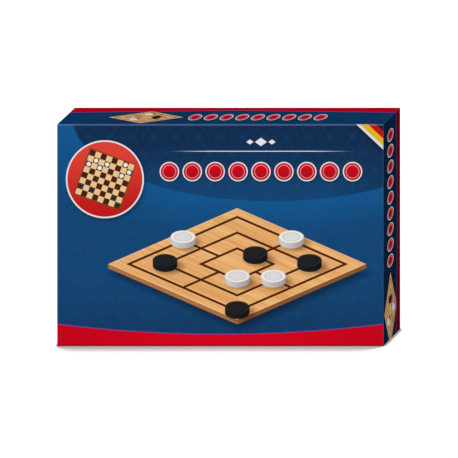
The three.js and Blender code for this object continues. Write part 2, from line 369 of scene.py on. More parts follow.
@shader_group("pictured_man", X=0.0, Y=0.0, Below=BLACK, Top=BLACK, Side=BLACK)
def man(x, y, below, top, side):
    """A pictured man that lies on the board, with x and y from the middle of its foot."""
    shadow = inside(ellipse(x - 5, y + 1.5, MAN_WIDTH + 2, MAN_HEIGHT + 1), 5)
    face_y = y - MAN_SIDE
    face = ellipse(x, face_y, MAN_WIDTH, MAN_HEIGHT)
    foot = ellipse(x, y, MAN_WIDTH, MAN_HEIGHT)
    wall = greatest(abs(x) - MAN_WIDTH, -y, face_y)
    whole = least(foot, face, wall)
    belly = abs(y - 2.6 + (abs(x) / MAN_WIDTH - 1) * MAN_HEIGHT)
    turned = inside(abs(belly - 1.3) - 0.35, 0.5)
    lit = ramp(x / MAN_WIDTH, 1.2, -0.9)
    flank = layered(side, (lit * 0.55, top), (turned * 0.3, side))
    dish = inside(face + 2.2, 0.5)
    groove = inside(abs(face + 2.4) - 0.5, 0.5) + inside(abs(face + 4.9) - 0.3, 0.4) * 0.6
    fleck = ramp(noise(joined(x, y * 2), scale=0.9, detail=3, rough=0.7), 0.5, 0.75)
    upper = mixed(dish * 0.16 + groove * 0.3 + fleck * 0.22, top, side)
    colour = layered(
        below,
        (shadow * 0.6, ink(60, 30, 12)),
        (inside(whole, 0.5), flank),
        (inside(face, 0.5), upper),
    )
    return {"Color": colour}


# ---- the lid's print

NAVY = ink(15, 44, 80)
BLUE = ink(18, 70, 118)
BRIGHT_BLUE = ink(16, 98, 162)
RED = ink(217, 2, 28)
# darkens the front's bottom edge as painted shade, and the walls towards their open rim
DEEP_RED = ink(60, 0, 8)
PALE = ink(236, 234, 236)
VIOLET = ink(70, 70, 150)
DARK_LINE = ink(77, 25, 2)
MAN_INKS = {
    "white": (ink(241, 240, 240), ink(165, 158, 156)),
    "black": (ink(34, 34, 36), ink(10, 10, 14)),
}

BOARD_X, BOARD_Z = 20.0, 97.0  # middle of the pictured board
BOARD_HALF_X, BOARD_HALF_Z = 152.0, 66.0
BOARD_EDGE = 5.0  # height of its edge in the picture
BOARD_PLANKS = 4  # in a half side
MILL_REACH = 0.84  # outer line of the pictured board, as a share of its half side
MEN = (
    (-1, 0, "white"),
    (0, 1, "white"),
    (2 / 3, 2 / 3, "black"),
    (1 / 3, -1 / 3, "white"),
    (-2 / 3, -2 / 3, "black"),
    (1, -1, "black"),
    (0, 1 / 3, "black"),
    (2 / 3, 0, "white"),
)

FIELD_X, FIELD_Z = 62.0, 270.0  # middle of the dark field behind the row of roundels
FIELD_HALF_X, FIELD_HALF_Z = 236.0, 99.0
ROUNDELS = 9
ROW_MIDDLE, ROW_Z, RULE_Z, LOZENGE_Z = 48.0, 206.0, 230.0, 241.0
LOZENGES = ((0, 5.0), (-13, 3.0), (13, 3.0))  # places from the row's middle, and sizes
INSET_X, INSET_Z, INSET_RADIUS = -136.0, 197.0, 46.0
INSET_COSINE, INSET_SINE = 0.94, 0.34  # of the small board's tilt
INSET_BOARD = 27.5  # half side of the small board
INSET_RIM, INSET_MAN = 1.8, 2.5  # width of the pale rim, radius of a man
INSET_BARE = 7.0  # half the bare strip between the two sides' men
INSET_EMPTY = 0.45  # share of the dark squares that have no man
CORNER_X, CORNER_Z = 30.0, 28.0  # reach of the striped patch
CORNER_STRIPES = (  # how far out from the corner each goes, the widest first
    (1.08, ink(226, 226, 230)),
    (0.93, ink(228, 184, 30)),
    (0.62, ink(198, 12, 22)),
    (0.31, ink(26, 24, 26)),
)
FOOT_MIDDLE, FOOT_RISE = 14.0, 12.0  # height of the red band, and its rise to both ends


def over_ground(x, z):
    """The blue ground with its faint ornament, and a dark field bounded by an arc."""
    cloud = noise(joined(x, z), scale=0.011, detail=3)
    fine = noise(joined(x, z), scale=0.07, detail=4)
    away = ellipse(x - FIELD_X, z - FIELD_Z, FIELD_HALF_X, FIELD_HALF_Z)
    glow = ramp(away + cloud * 24, 62, 0)
    low = ramp(z + cloud * 40, 110, 20)
    high = ramp(z + cloud * 30, 178, 262)
    return layered(
        BLUE,
        (glow * 0.62, BRIGHT_BLUE),
        (low * 0.5, NAVY),
        (inside(away, 1.4), layered(BLUE, (high, NAVY), (ramp(x, 120, 192) * 0.5, NAVY))),
        (lattice_on(x, z) * (fine * 0.3), LATTICE_BLUE),
        (ramp(fine, 0.5, 0.8) * 0.12, NAVY),
    )


def over_roundels(x, y, colour, middle, pitch, radius, reach):
    """A row of roundels along x. reach is how far their shadows go above and below it."""
    half = ROUNDELS / 2 * pitch
    local = ((x - (middle - half)) / pitch % 1.0 - 0.5) * pitch
    within = inside(abs(x - middle) - half) * inside(abs(y) - reach)
    return mixed(within, colour, roundel(local, y, radius, colour))


def over_men(x, y, colour, men, half_x, half_y, shrunk=1.0):
    """Men on a pictured board that has its middle at 0, drawn smaller by shrunk."""
    for u, v, kind in men:
        local_x = (x - MILL_REACH * (u + v) / 2 * half_x) * shrunk
        local_y = (y - MILL_REACH * (v - u) / 2 * half_y) * shrunk + 2
        colour = man(local_x, local_y, colour, *MAN_INKS[kind])
    return colour


def board_axes(x, y, half_x, half_y):
    """Where a point lies on a pictured board that has its middle at 0 and a corner towards the
    viewer, from -1 to 1 along both its sides."""
    across, up = x / half_x, y / half_y
    return across - up, across + up


def outside_board(x, y, half_x, half_y):
    """How far outside such a board a point lies, in half sides."""
    u, v = board_axes(x, y, half_x, half_y)
    return greatest(abs(u), abs(v)) - 1


def over_board(x, z, colour):
    """The pictured mill board with its men."""
    x, y = x - BOARD_X, z - BOARD_Z
    halves = BOARD_HALF_X, BOARD_HALF_Z
    crisp = 0.006
    shadow = inside(outside_board(x - 3, y + BOARD_EDGE + 7, *halves), 0.16)
    swept = greatest(y, -BOARD_EDGE - y, 0)
    edge = mixed(ramp(x, -10, 10), ink(176, 116, 66), ink(140, 88, 46))
    u, v = board_axes(x, y, *halves)
    tint = chance(joined(floor_of(v * BOARD_PLANKS), 3.0))
    spot = joined(u * 80 + tint * 300, v * 80, tint * 50)
    grain = wooden(spot, ink(252, 202, 138), ink(226, 156, 88))
    away = outside_board(x, y, *halves)
    board = inside(away, crisp)
    rim = inside(abs(away + 0.012) - 0.006, 0.01)
    line = mill(u / MILL_REACH, v / MILL_REACH, 0.052)
    colour = layered(
        colour,
        (shadow * 0.62, SHADOW),
        (inside(outside_board(x, swept, *halves), crisp), edge),
        (board, mixed(tint * 0.25, grain, ink(218, 156, 90))),
        (rim * 0.5, ink(250, 222, 176)),
        (line * board, DARK_LINE),
    )
    return over_men(x, y, colour, MEN, *halves)


def over_row(x, z, colour):
    """A row of roundels, with a fading rule and three lozenges over it."""
    colour = over_roundels(x, z - ROW_Z, colour, ROW_MIDDLE, pitch=27, radius=11.5, reach=17)
    fade = ramp(abs(x - ROW_MIDDLE), 112, 50)
    colour = mixed(inside(abs(z - RULE_Z) - 0.45, 0.3) * fade, colour, PALE)
    for aside, size in LOZENGES:
        lozenge = abs(x - (ROW_MIDDLE + aside)) / 1.4 + abs(z - LOZENGE_Z) - size
        colour = mixed(inside(lozenge, 0.4), colour, PALE)
    return colour


def over_inset(x, z, colour):
    """The round inset with a draughts board."""
    x, z = x - INSET_X, z - INSET_Z
    away = distance(x, z) - INSET_RADIUS
    shadow = inside(distance(x - 2, z + 2.5) - INSET_RADIUS, 7)
    red = mixed(ramp(z, -40, 40), ink(196, 24, 26), ink(226, 66, 52))
    turned_x = x * INSET_COSINE - z * INSET_SINE
    turned_z = x * INSET_SINE + z * INSET_COSINE
    board = greatest(abs(turned_x), abs(turned_z)) - INSET_BOARD
    square = INSET_BOARD / 4
    along_x, along_z = turned_x / square, turned_z / square
    dark = checks(along_x + 4, along_z + 4)
    from_cell = distance((along_x % 1.0 - 0.5) * square, (along_z % 1.0 - 0.5) * square)
    stands = exceeds(chance(joined(floor_of(along_x), floor_of(along_z))), INSET_EMPTY) * dark
    stands = stands * inside(board) * inside(INSET_BARE - abs(turned_z))
    rim = inside(abs(from_cell - INSET_MAN + 0.6) - 0.25, 0.4)
    black = mixed(rim * 0.5, ink(20, 19, 22), ink(120, 112, 110))
    man_ink = mixed(exceeds(turned_z, 0.0), black, ink(240, 238, 234))
    return layered(
        colour,
        (shadow * 0.6, SHADOW),
        (inside(away), PALE),
        (inside(away + INSET_RIM), red),
        (inside(board + 1.2, 5) * 0.5, ink(40, 6, 4)),
        (inside(board - 1.4), ink(120, 66, 30)),
        (inside(board), mixed(dark, ink(240, 200, 146), ink(72, 30, 14))),
        (inside(from_cell - INSET_MAN, 0.4) * stands, man_ink),
    )


def over_corner(x, z, colour):
    """The striped patch that folds over the upper right corner."""
    away = (HALF_WIDTH - x) / CORNER_X + (HEIGHT - z) / CORNER_Z
    stripes = [(inside(away - reach, 0.02), stripe) for reach, stripe in CORNER_STRIPES]
    return layered(colour, (inside(away - 1.22, 0.25) * 0.5, SHADOW), *stripes)


def over_foot(x, z, colour):
    """The red band along the lower edge, with painted shade darkening the last few millimetres
    above the bottom edge.
    """
    aside = x / HALF_WIDTH
    top = FOOT_MIDDLE + FOOT_RISE * (aside * aside)
    return layered(
        colour,
        (inside(z - top - 1.3, 0.3), VIOLET),
        (inside(z - top, 0.3), mixed(ramp(abs(x), 60, 192) * 0.3, RED, ink(160, 0, 22))),
        # painted shade along the bottom edge
        (ramp(z, 2.8, 0.2) * 0.8, DEEP_RED),
    )


def over_fold(z, colour):
    """A painted highlight along the crest of the upper fold, where the rounded fold would catch the
    light from above.
    """
    return mixed(ramp(z, HEIGHT - 2.6, HEIGHT - 0.6) * 0.3, colour, ink(124, 158, 204))


# The front's print, with a painted highlight along its upper fold and painted shade along its
# bottom edge
@shader_group("front_print_and_edge_shading", Place=ORIGIN)
def front_print_and_edge_shading(place):
    x, _, z = split(place)
    colour = over_ground(x, z)
    for over_print in (over_inset, over_row, over_board, over_foot, over_corner):
        colour = over_print(x, z, colour)
    return {"Color": over_fold(z, colour)}


WALL_MIDDLE = 17.0  # where a wall's pictures stand, back from the front edge
WALL_ROW, WALL_BOARD_ALONG = 36.0, -96.0  # the places of both along the wall
WALL_BAND, WALL_BAND_RISE = 7.0, 5.0  # width of the red band, and its rise to both ends
WALL_BOARD_X, WALL_BOARD_Z = 44.0, 14.5  # half sizes of a wall's board
WALL_MEN = ((-2 / 3, 0, "white"), (1 / 3, 1 / 3, "black"), (2 / 3, -2 / 3, "white"))


def over_wall_board(x, y, colour):
    """A small mill board with its men."""
    halves = WALL_BOARD_X, WALL_BOARD_Z
    u, v = board_axes(x, y, *halves)
    away = outside_board(x, y, *halves)
    board = inside(away, 0.02)
    line = mill(u / MILL_REACH, v / MILL_REACH, 0.07)
    colour = layered(
        colour,
        (inside(away - 0.1, 0.3) * 0.5, SHADOW),
        (board, wooden(joined(u * 30, v * 30), ink(243, 196, 138))),
        (line * board, DARK_LINE),
    )
    return over_men(x, y, colour, WALL_MEN, *halves, shrunk=3.2)


@shader_group("wall_print", Along=0.0, Depth=0.0, Ground=BLACK, Foot=BLACK)
def wall_print(along, depth, ground, foot):
    """A wall's print: along from its middle, depth back from the front edge."""
    cloud = noise(joined(along, depth), scale=0.02, detail=4)
    colour = layered(
        ground,
        (ramp(cloud, 0.35, 0.75) * 0.4, ink(9, 32, 62)),
        (lattice_on(along, depth) * (cloud * 0.22), LATTICE_BLUE),
    )
    back = depth - WALL_MIDDLE
    colour = over_roundels(along, back, colour, WALL_ROW, pitch=18.5, radius=7.4, reach=10)
    colour = over_wall_board(along - WALL_BOARD_ALONG, WALL_MIDDLE - depth, colour)
    band = LID_DEPTH - WALL_BAND - WALL_BAND_RISE * abs(along / HALF_WIDTH) - depth
    colour = layered(
        colour,
        (inside(band - 0.9, 0.3), VIOLET),
        (inside(band, 0.3), foot),
        # darker along the last few millimetres before the open rim
        (ramp(depth, LID_DEPTH - 2.8, LID_DEPTH - 0.2) * 0.35, DEEP_RED),
    )
    return {"Color": colour}


# ---- finishes


def finish(name, roughness, specular, relief=0.0, strength=0.6, **constants):
    """Makes a material of the function below it. That takes the place in millimetres and returns
    what feeds the shader, with the Height of its relief. relief is how deep it is, in metres."""
    constants |= {"Roughness": roughness, "Specular_IOR_Level": specular}

    def built(draw):
        material = bpy.data.materials.new(name)
        material.use_nodes = True
        tree = material.node_tree
        shader = tree.nodes["Principled BSDF"]
        for label, value in constants.items():
            shader.inputs[label.replace("_", " ")].default_value = value
        place = Wire(tree.nodes.new("ShaderNodeTexCoord").outputs["Object"])
        results = draw(stretched(place, 1 / MM, 1 / MM, 1 / MM))
        if relief:
            height = {"Height": results.pop("Height"), "Distance": relief, "Strength": strength}
            results["Normal"] = Wire(added(tree, "ShaderNodeBump", **height).outputs[0])
        for label, wire in results.items():
            feed(shader.inputs[label], wire)
        return material

    return built


BOX_MIDDLE_Z = HEIGHT / 2
LID_MIDDLE = (0.0, LID_DEPTH / 2 - HALF_DEPTH, BOX_MIDDLE_Z)
LID_HALF = (HALF_WIDTH, LID_DEPTH / 2, BOX_MIDDLE_Z)
TRAY_MIDDLE, TRAY_HALF = (0.0, 1.35, BOX_MIDDLE_Z), (189.3, 19.65, 127.8)


def long_wall_colour(place):
    x, y, _ = split(place)
    return wall_print(x, y + HALF_DEPTH, ink(17, 60, 104), ink(190, 2, 27))


def short_wall_colour(place):
    _, y, z = split(place)
    # painted shade: the long walls' ground and band in darker inks, so the short walls look shaded
    return wall_print(z - BOX_MIDDLE_Z, y + HALF_DEPTH, ink(8, 37, 66), ink(112, 4, 18))


def turned_in_colour(place):
    cloud = noise(place, scale=0.03, detail=3)
    return mixed(cloud * 0.5, ink(156, 3, 24), ink(134, 2, 22))


def lid_finish(name, draw, specular):
    """A finish of the lid's printed and laminated paper. draw gives the print's colour."""

    @finish(name, 0.42, specular, relief=0.04 * MM)
    def lid_paper(place):
        height, fibres = paper(place, 0.25)
        worn = edge_wear(place, LID_MIDDLE, LID_HALF, 0.9)
        return {
            # pale folded edges: partly wear, partly a painted highlight along them
            "Base Color": mixed(worn * 0.1, draw(place), ink(150, 168, 196)),
            "Roughness": 0.4 + fibres * 0.08 + worn * 0.25,
            "Height": height,
        }

    return lid_paper


lid_papers = [
    lid_finish("lid_front_paper", front_print_and_edge_shading, 0.03),
    lid_finish("lid_long_wall_paper", long_wall_colour, 0.0),
    lid_finish("lid_short_wall_shaded_paper", short_wall_colour, 0.0),
    lid_finish("lid_turned_in_paper", turned_in_colour, 0.05),
]


@finish("tray_paper", 0.5, 0.05, relief=0.04 * MM)
def tray_paper(place):
    """The tray's paper: the lid's ornament printed faintly on its back panel, and light scuffs."""
    height, fibres = paper(place, 0.5)
    cloud = noise(place, scale=0.02, detail=4)
    x, y, z = split(place)
    panel = ramp(y, HALF_DEPTH - 0.5, HALF_DEPTH - 0.1)
    scuffs = ramp(noise(stretched(place, 0.05, 0.05, 0.9), detail=4, rough=0.75), 0.6, 0.8)
    worn = edge_wear(place, TRAY_MIDDLE, TRAY_HALF, 1.0)
    colour = layered(
        ink(19, 62, 108),
        (cloud * 0.5 + fibres * 0.2, ink(13, 42, 80)),
        (lattice_on(x, z) * panel * (cloud * 0.3), LATTICE_BLUE),
        (scuffs * panel * 0.16, ink(128, 148, 178)),
        (worn * 0.5, ink(160, 170, 190)),
    )
    return {"Base Color": colour, "Height": height}


@finish("grey_board", 0.92, 0.2, relief=0.12 * MM, strength=0.7)
def grey_board(place):
    """Recycled board: short grey and brown fibres, with specks of ink."""
    fibres = noise(stretched(place, 0.5, 0.9, 0.35), detail=6, rough=0.75)
    cloud = noise(place, scale=0.03, detail=3)
    specks = inside(noise(place, scale=1.3, detail=2) - 0.27, 0.04)
    colour = layered(
        ink(158, 150, 138),
        (ramp(fibres, 0.3, 0.7), ink(186, 179, 168)),
        (cloud * 0.3, ink(150, 146, 140)),
        (specks * 0.7, ink(84, 82, 84)),
    )
    return {"Base Color": colour, "Height": fibres}


@finish("kraft_tape", 0.8, 0.25, relief=0.05 * MM)
def kraft_tape(place):
    """Gummed kraft tape with fine laid ribs."""
    fibres = noise(stretched(place, 0.3, 1.4, 0.3), detail=5, rough=0.7)
    return {"Base Color": mixed(fibres, ink(164, 126, 84), ink(196, 158, 112)), "Height": fibres}


def dress(node, material):
    for place in frame["nodes"][node].material_slots:
        place.material = material


for node in frame["nodes"]:
    if node.startswith(("lid_stay", "tray_stay")):
        dress(node, kraft_tape)
    elif slot_of[node] == "grey_board":
        dress(node, grey_board)

# ---- meshes


def arc(x, z, radius, start, end, steps=16):
    """Points along an arc, with both of its ends. Angles are in degrees."""
    points = []
    for step in range(steps + 1):
        angle = math.radians(start + (end - start) * step / steps)
        points.append((x + radius * math.cos(angle), z + radius * math.sin(angle)))
    return points


def rounding(radius, steps):
    """Points of a quarter round, each with its insets from the two faces that the round joins."""
    points = []
    for step in range(steps + 1):
        angle = math.radians(90 * step / steps)
        points.append((radius * (1 - math.sin(angle)), radius * (1 - math.cos(angle))))
    return points


def level(maker, outline, y, up=0.0):
    return [maker.verts.new((x, y, z + up)) for x, z in outline]


def walls(maker, upper, lower, closed=True):
    """Faces between two loops, or between two runs that aren't closed."""
    faces = []
    for place in range(len(upper) if closed else len(upper) - 1):
        following = (place + 1) % len(upper)
        corners = (upper[place], upper[following], lower[following], lower[place])
        faces.append(maker.faces.new(corners))
    return faces


def turned_out(maker):
    """Points every face outwards and shades it smooth."""
    bmesh.ops.recalc_face_normals(maker, faces=maker.faces)
    maker.normal_update()
    for face in maker.faces:
        face.smooth = True


def added_object(name, data=None):
    item = bpy.data.objects.new(name, data)
    scene.collection.objects.link(item)
    return item


def mesh_of(maker, name):
    mesh = bpy.data.meshes.new(name)
    maker.to_mesh(mesh)
    maker.free()
    return mesh


def new_piece(name, maker, node, materials, body, sharp=40):
    """Makes a piece from a bmesh, in the place of a CAD node. With no body it is attached to none.
    """
    mesh = mesh_of(maker, name)
    for material in materials:
        mesh.materials.append(material)
    mesh.set_sharp_from_angle(angle=math.radians(sharp))
    piece = added_object(name, mesh)
    if body:
        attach(piece, body)
    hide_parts(node)
    return piece


CORNER_STEPS, FOLD_STEPS, RIM_STEPS = 4, 4, 3
SIDE_STEPS = (14, 10)  # along the long and the short walls
FOLD = 0.75 * MM  # radius of the paper over a folded edge
TIGHT = 0.25 * MM  # least radius at a corner between two walls
RIM = 2 * PAPER  # radius of the paper over the open edge
HOLLOW = ((70, 0.18), (45, 0.16), (25, 0.1), (12, 0.04), (5, 0.01))  # inset and sink, in mm
INNER_HOLLOW = ((FOLD / MM, PAPER / MM), (5, 0.31), (25, 0.4), (70, 0.48))


def rounded_outline(half_x, half_z, radius):
    """Points of a rounded rectangle round the origin, anticlockwise from its upper right corner."""
    points = []
    corners = ((1, 1), (-1, 1), (-1, -1), (1, -1))
    directions = ((-1, 0), (0, -1), (1, 0), (0, 1))
    for quarter, ((sign_x, sign_z), (along_x, along_z)) in enumerate(zip(corners, directions)):
        x, z = sign_x * (half_x - radius), sign_z * (half_z - radius)
        points += arc(x, z, radius, 90 * quarter, 90 * (quarter + 1), CORNER_STEPS)
        x, z = points[-1]
        steps = SIDE_STEPS[quarter % 2]
        length = 2 * ((half_x, half_z)[quarter % 2] - radius)
        for step in range(1, steps):
            run = length * step / steps
            points.append((x + along_x * run, z + along_z * run))
    return points


def shell_profile(depth):
    """The sheet's section from the middle of the panel, round the rim and back along its inside.
    Each point has its inset from the wall's face and its distance from the panel's face."""
    panel = [(inset * MM, sink * MM) for inset, sink in HOLLOW] + rounding(FOLD, FOLD_STEPS)
    wall = [(0.0, depth * share) for share in (0.15, 0.4, 0.65, 0.9)]
    turned_in = []
    for rise, fall in rounding(RIM, RIM_STEPS):
        wall.append((fall, depth - rise))
        turned_in.append((LIP - rise, depth - fall))
    turned_in += [(LIP, depth - TURN_IN), (LIP - PAPER, depth - TURN_IN)]
    turned_in += [(LIP - PAPER, depth - PAPER), (PAPER, depth - PAPER), (PAPER, FOLD)]
    turned_in += [(inset * MM, sink * MM) for inset, sink in INNER_HOLLOW]
    return panel, wall, turned_in


def paper_shell(name, body, node, towards_mouth, materials):
    """The paper round a lid or tray: a closed sheet, folded at every edge, turned in at the rim."""
    low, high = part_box(node)
    half_x, half_z = (high.x - low.x) / 2, (high.z - low.z) / 2
    closed_end = low.y if towards_mouth > 0 else high.y
    panel_points, wall_points, turned_in_points = shell_profile(high.y - low.y)
    panel_rings = len(panel_points) - 3
    wall_rings = len(panel_points) + len(wall_points) - 2

    maker = bmesh.new()
    loops = []
    for inset, distance_in in panel_points + wall_points + turned_in_points:
        radius = max(FOLD - inset, TIGHT) if inset < 3 * MM else 2 * MM
        outline = rounded_outline(half_x - inset, half_z - inset, radius)
        y = closed_end + towards_mouth * distance_in
        loops.append(level(maker, outline, y, (high.z + low.z) / 2))
    maker.faces.new(loops[0])
    wall, turned_in = [], [maker.faces.new(loops[-1][::-1])]
    for ring, (outer, inner) in enumerate(zip(loops, loops[1:])):
        faces = walls(maker, outer, inner)
        if ring >= wall_rings:
            turned_in += faces
        elif ring >= panel_rings:
            wall += faces
    turned_out(maker)
    if len(materials) > 1:
        for face in wall:
            face.material_index = 1 if abs(face.normal.z) > abs(face.normal.x) else 2
        for face in turned_in:
            face.material_index = 3
    new_piece(name, maker, node, materials, body)


paper_shell("lid_paper", "lid", "lid_wrap", 1, lid_papers)
paper_shell("tray_paper_shell", "tray", "tray_wrap", -1, [tray_paper])

# ---- foam inserts


FLOCK_SHEEN = {"Sheen_Weight": 0.12, "Sheen_Tint": ink(90, 120, 180)}


@finish("flocked_foam", 0.95, 0.1, relief=0.35 * MM, strength=0.9, **FLOCK_SHEEN)
def flocked_foam(place):
    """Foam with a short flock on it."""
    flock = noise(place, scale=1.6, detail=4, rough=0.8)
    cloud = noise(place, scale=0.03, detail=3)
    tone = ramp(flock, 0.3, 0.7)
    colour = layered(ink(22, 33, 56), (tone, ink(44, 60, 92)), (cloud * 0.35, ink(30, 44, 72)))
    return {"Base Color": colour, "Height": flock + cloud * 2}


FOAM_ROUND = 1.1 * MM
FOAM_CORNER = 2.5 * MM
FOAM_STEPS = 4
WELL_FLOOR_Y = 16.2 * MM


def flat_with_hole(maker, outside, hole):
    edges = []
    for loop in (outside, hole):
        for pair in zip(loop, loop[1:] + loop[:1]):
            edges.append(maker.edges.get(pair) or maker.edges.new(pair))
    bmesh.ops.triangle_fill(maker, use_beauty=True, edges=edges, normal=(0, -1, 0))


def grown(outline, growth):
    """An outline that runs anticlockwise, moved outwards."""
    points = []
    for place, (x, z) in enumerate(outline):
        before, after = outline[place - 1], outline[(place + 1) % len(outline)]
        first = Vector((x - before[0], z - before[1])).normalized()
        second = Vector((after[0] - x, after[1] - z)).normalized()
        normal = Vector((first.y + second.y, -first.x - second.x)).normalized()
        reach = growth / max(normal.dot(Vector((first.y, -first.x))), 0.4)
        points.append((x + normal.x * reach, z + normal.y * reach))
    return points


def foam_block(maker, node, outline):
    """The outside of a foam block, and the rounded edge round its hollow. Returns the face's y."""
    low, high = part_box(node)
    block = [(low.x, low.z), (high.x, low.z), (high.x, high.z), (low.x, high.z)]
    face, back = level(maker, block, low.y), level(maker, block, high.y)
    walls(maker, face, back)
    maker.faces.new(back)
    loops = []
    for growth, sink in rounding(FOAM_ROUND, FOAM_STEPS):
        loops.append(level(maker, grown(outline, growth), low.y + sink))
    flat_with_hole(maker, face, loops[0])
    for upper, lower in zip(loops, loops[1:]):
        walls(maker, upper, lower)
    return low.y + FOAM_ROUND


def finish_insert(name, maker, node):
    bmesh.ops.remove_doubles(maker, verts=maker.verts, dist=0.001 * MM)
    turned_out(maker)
    for face in maker.faces:
        face.smooth = abs(face.normal.y) < 0.999
    new_piece(name, maker, node, [flocked_foam], "tray", sharp=35)


RECESS_X, RECESS_LOW, RECESS_HIGH = 161 * MM, 73.8 * MM, 235.8 * MM
RECESS_FLOOR = -9.6 * MM
NOTCH_IN, NOTCH_OUT, NOTCH_HALF = 155 * MM, 174 * MM, 13 * MM


def make_board_insert():
    """The block with the board's recess, and a deep notch at each side for a fingertip."""
    maker = bmesh.new()
    middle_z = (RECESS_LOW + RECESS_HIGH) / 2
    low_z, high_z = middle_z - NOTCH_HALF, middle_z + NOTCH_HALF
    corner = FOAM_CORNER

    def right_corners(x, low, high):
        lower = arc(x - corner, low + corner, corner, -90, 0, 4)
        return lower, arc(x - corner, high - corner, corner, 0, 90, 4)

    def both(half):
        return half + [(-x, z) for x, z in reversed(half)]

    lower_turn, upper_turn = right_corners(RECESS_X, RECESS_LOW, RECESS_HIGH)
    lower_end, upper_end = right_corners(NOTCH_OUT, low_z, high_z)
    notch = [(RECESS_X, low_z)] + lower_end + upper_end + [(RECESS_X, high_z)]
    inner = [(RECESS_X, low_z), (NOTCH_IN, low_z), (NOTCH_IN, high_z), (RECESS_X, high_z)]
    mouth_y = foam_block(maker, "board_insert", both(lower_turn + notch + upper_turn))
    maker.faces.new(level(maker, both(lower_turn + inner + upper_turn), RECESS_FLOOR))

    def drop(run, upper_y, lower_y):
        walls(maker, level(maker, run, upper_y), level(maker, run, lower_y), closed=False)

    for side in (1, -1):
        # the recess's sides, from corner to corner and up to the notches
        for part in (lower_turn + [(RECESS_X, low_z)], [(RECESS_X, high_z)] + upper_turn):
            drop([(side * x, z) for x, z in part], mouth_y, RECESS_FLOOR)
        # the notch's outer walls, whose ends have a corner more at the recess's floor
        run = [(side * x, z) for x, z in notch]
        upper, lower = level(maker, run, mouth_y), level(maker, run, WELL_FLOOR_Y)
        last = len(run) - 2
        for place in range(last + 1):
            corners = [upper[place], upper[place + 1], lower[place + 1], lower[place]]
            if place == 0:
                corners += level(maker, run[:1], RECESS_FLOOR)
            if place == last:
                corners[2:2] = level(maker, run[-1:], RECESS_FLOOR)
            maker.faces.new(corners)
        # its inner walls under the board, and its own floor
        run = [(side * x, z) for x, z in inner]
        drop(run, RECESS_FLOOR, WELL_FLOOR_Y)
        maker.faces.new(lower + level(maker, run[1:3][::-1], WELL_FLOOR_Y))
    for x, z in (lower_turn[0], upper_turn[-1]):
        drop([(x, z), (-x, z)], mouth_y, RECESS_FLOOR)
    finish_insert("board_foam", maker, "board_insert")


WELL = 17 * MM
WELL_PITCH = 55 * MM
WELL_Z = 35.5 * MM
CHANNEL_HALF = 7 * MM
CHANNEL_REACH = 84 * MM
CHANNEL_FLOOR = -3.8 * MM


def make_disc_insert(colour):
    """A block with three wells for stacks of discs, and a channel through them for fingertips."""
    maker = bmesh.new()
    node = f"{colour}_disc_insert"
    low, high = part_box(node)
    middle = (low.x + high.x) / 2
    wells = [middle + step * WELL_PITCH for step in (-1, 0, 1)]
    dip = math.degrees(math.asin(CHANNEL_HALF / WELL))
    left, right = middle - CHANNEL_REACH, middle + CHANNEL_REACH
    below, above = WELL_Z - CHANNEL_HALF, WELL_Z + CHANNEL_HALF
    left_end, right_end = [(left, below), (left, above)], [(right, above), (right, below)]
    mouths = 6  # steps of an arc where the channel enters a well

    outline = left_end[1:]
    for x in wells:
        outline += arc(x, WELL_Z, WELL, 180 - dip, dip)
    outline += right_end
    for x in reversed(wells):
        outline += arc(x, WELL_Z, WELL, -dip, dip - 180)
    outline += left_end[:1]
    outline.reverse()
    mouth_y = foam_block(maker, node, outline)
    walls(maker, level(maker, outline, mouth_y), level(maker, outline, CHANNEL_FLOOR))

    leaving, entering = [left_end], []
    for x in wells:
        left_mouth = arc(x, WELL_Z, WELL, 180 - dip, 180 + dip, mouths)
        right_mouth = arc(x, WELL_Z, WELL, -dip, dip, mouths)
        entering.append(left_mouth)
        leaving.append(right_mouth)
        ring = arc(x, WELL_Z, WELL, dip, 180 - dip)[:-1] + left_mouth[:-1]
        ring += arc(x, WELL_Z, WELL, 180 + dip, 360 - dip)[:-1] + right_mouth[:-1]
        upper, lower = level(maker, ring, CHANNEL_FLOOR), level(maker, ring, WELL_FLOOR_Y)
        walls(maker, upper, lower)
        maker.faces.new(lower)
    entering.append(right_end)
    for start, end in zip(leaving, entering):
        maker.faces.new(level(maker, start + end, CHANNEL_FLOOR))
    finish_insert(f"{colour}_disc_foam", maker, node)


make_board_insert()
make_disc_insert("white")
make_disc_insert("black")

# ---- the wooden discs


def painted_wood(name, paint, shade, bare):
    """Thin paint on turned wood: the grain shows a little, and the rims are rubbed bare."""

    @finish(name, 0.36, 0.3, relief=0.1 * MM, strength=0.8)
    def disc_paint(place):
        grain = wood(stretched(place, 0.7, 1.2, 1.2))[1]
        node = added(place.tree, "ShaderNodeAttribute", {"attribute_name": "turning"})
        turning = Wire(node.outputs["Fac"])
        cloud = noise(place, scale=0.12, detail=3)
        tone = ramp(grain, 0.35, 0.75) * 0.3 + cloud * 0.2
        patches = ramp(noise(place, 0.5, 4, 0.7), 0.5, 0.62)
        rubbed = inside(abs(turning - 0.985) - 0.01, 0.02) * patches
        rings = noise(joined(turning * 46, 0.0), detail=2)
        return {
            "Base Color": layered(paint, (tone, shade), (rubbed * 0.5, bare)),
            "Roughness": 0.34 + grain * 0.14,
            "Height": rings * 0.8 + grain,
        }

    return disc_paint


DISC_INKS = {  # the paint, its shade where the grain shows, and bare wood
    "white": (ink(238, 236, 229), ink(222, 218, 206), ink(214, 182, 134)),
    "black": (ink(22, 21, 22), ink(33, 31, 31), ink(90, 64, 42)),
}
disc_paints = {
    colour: painted_wood(f"{colour}_disc_paint", *inks) for colour, inks in DISC_INKS.items()
}

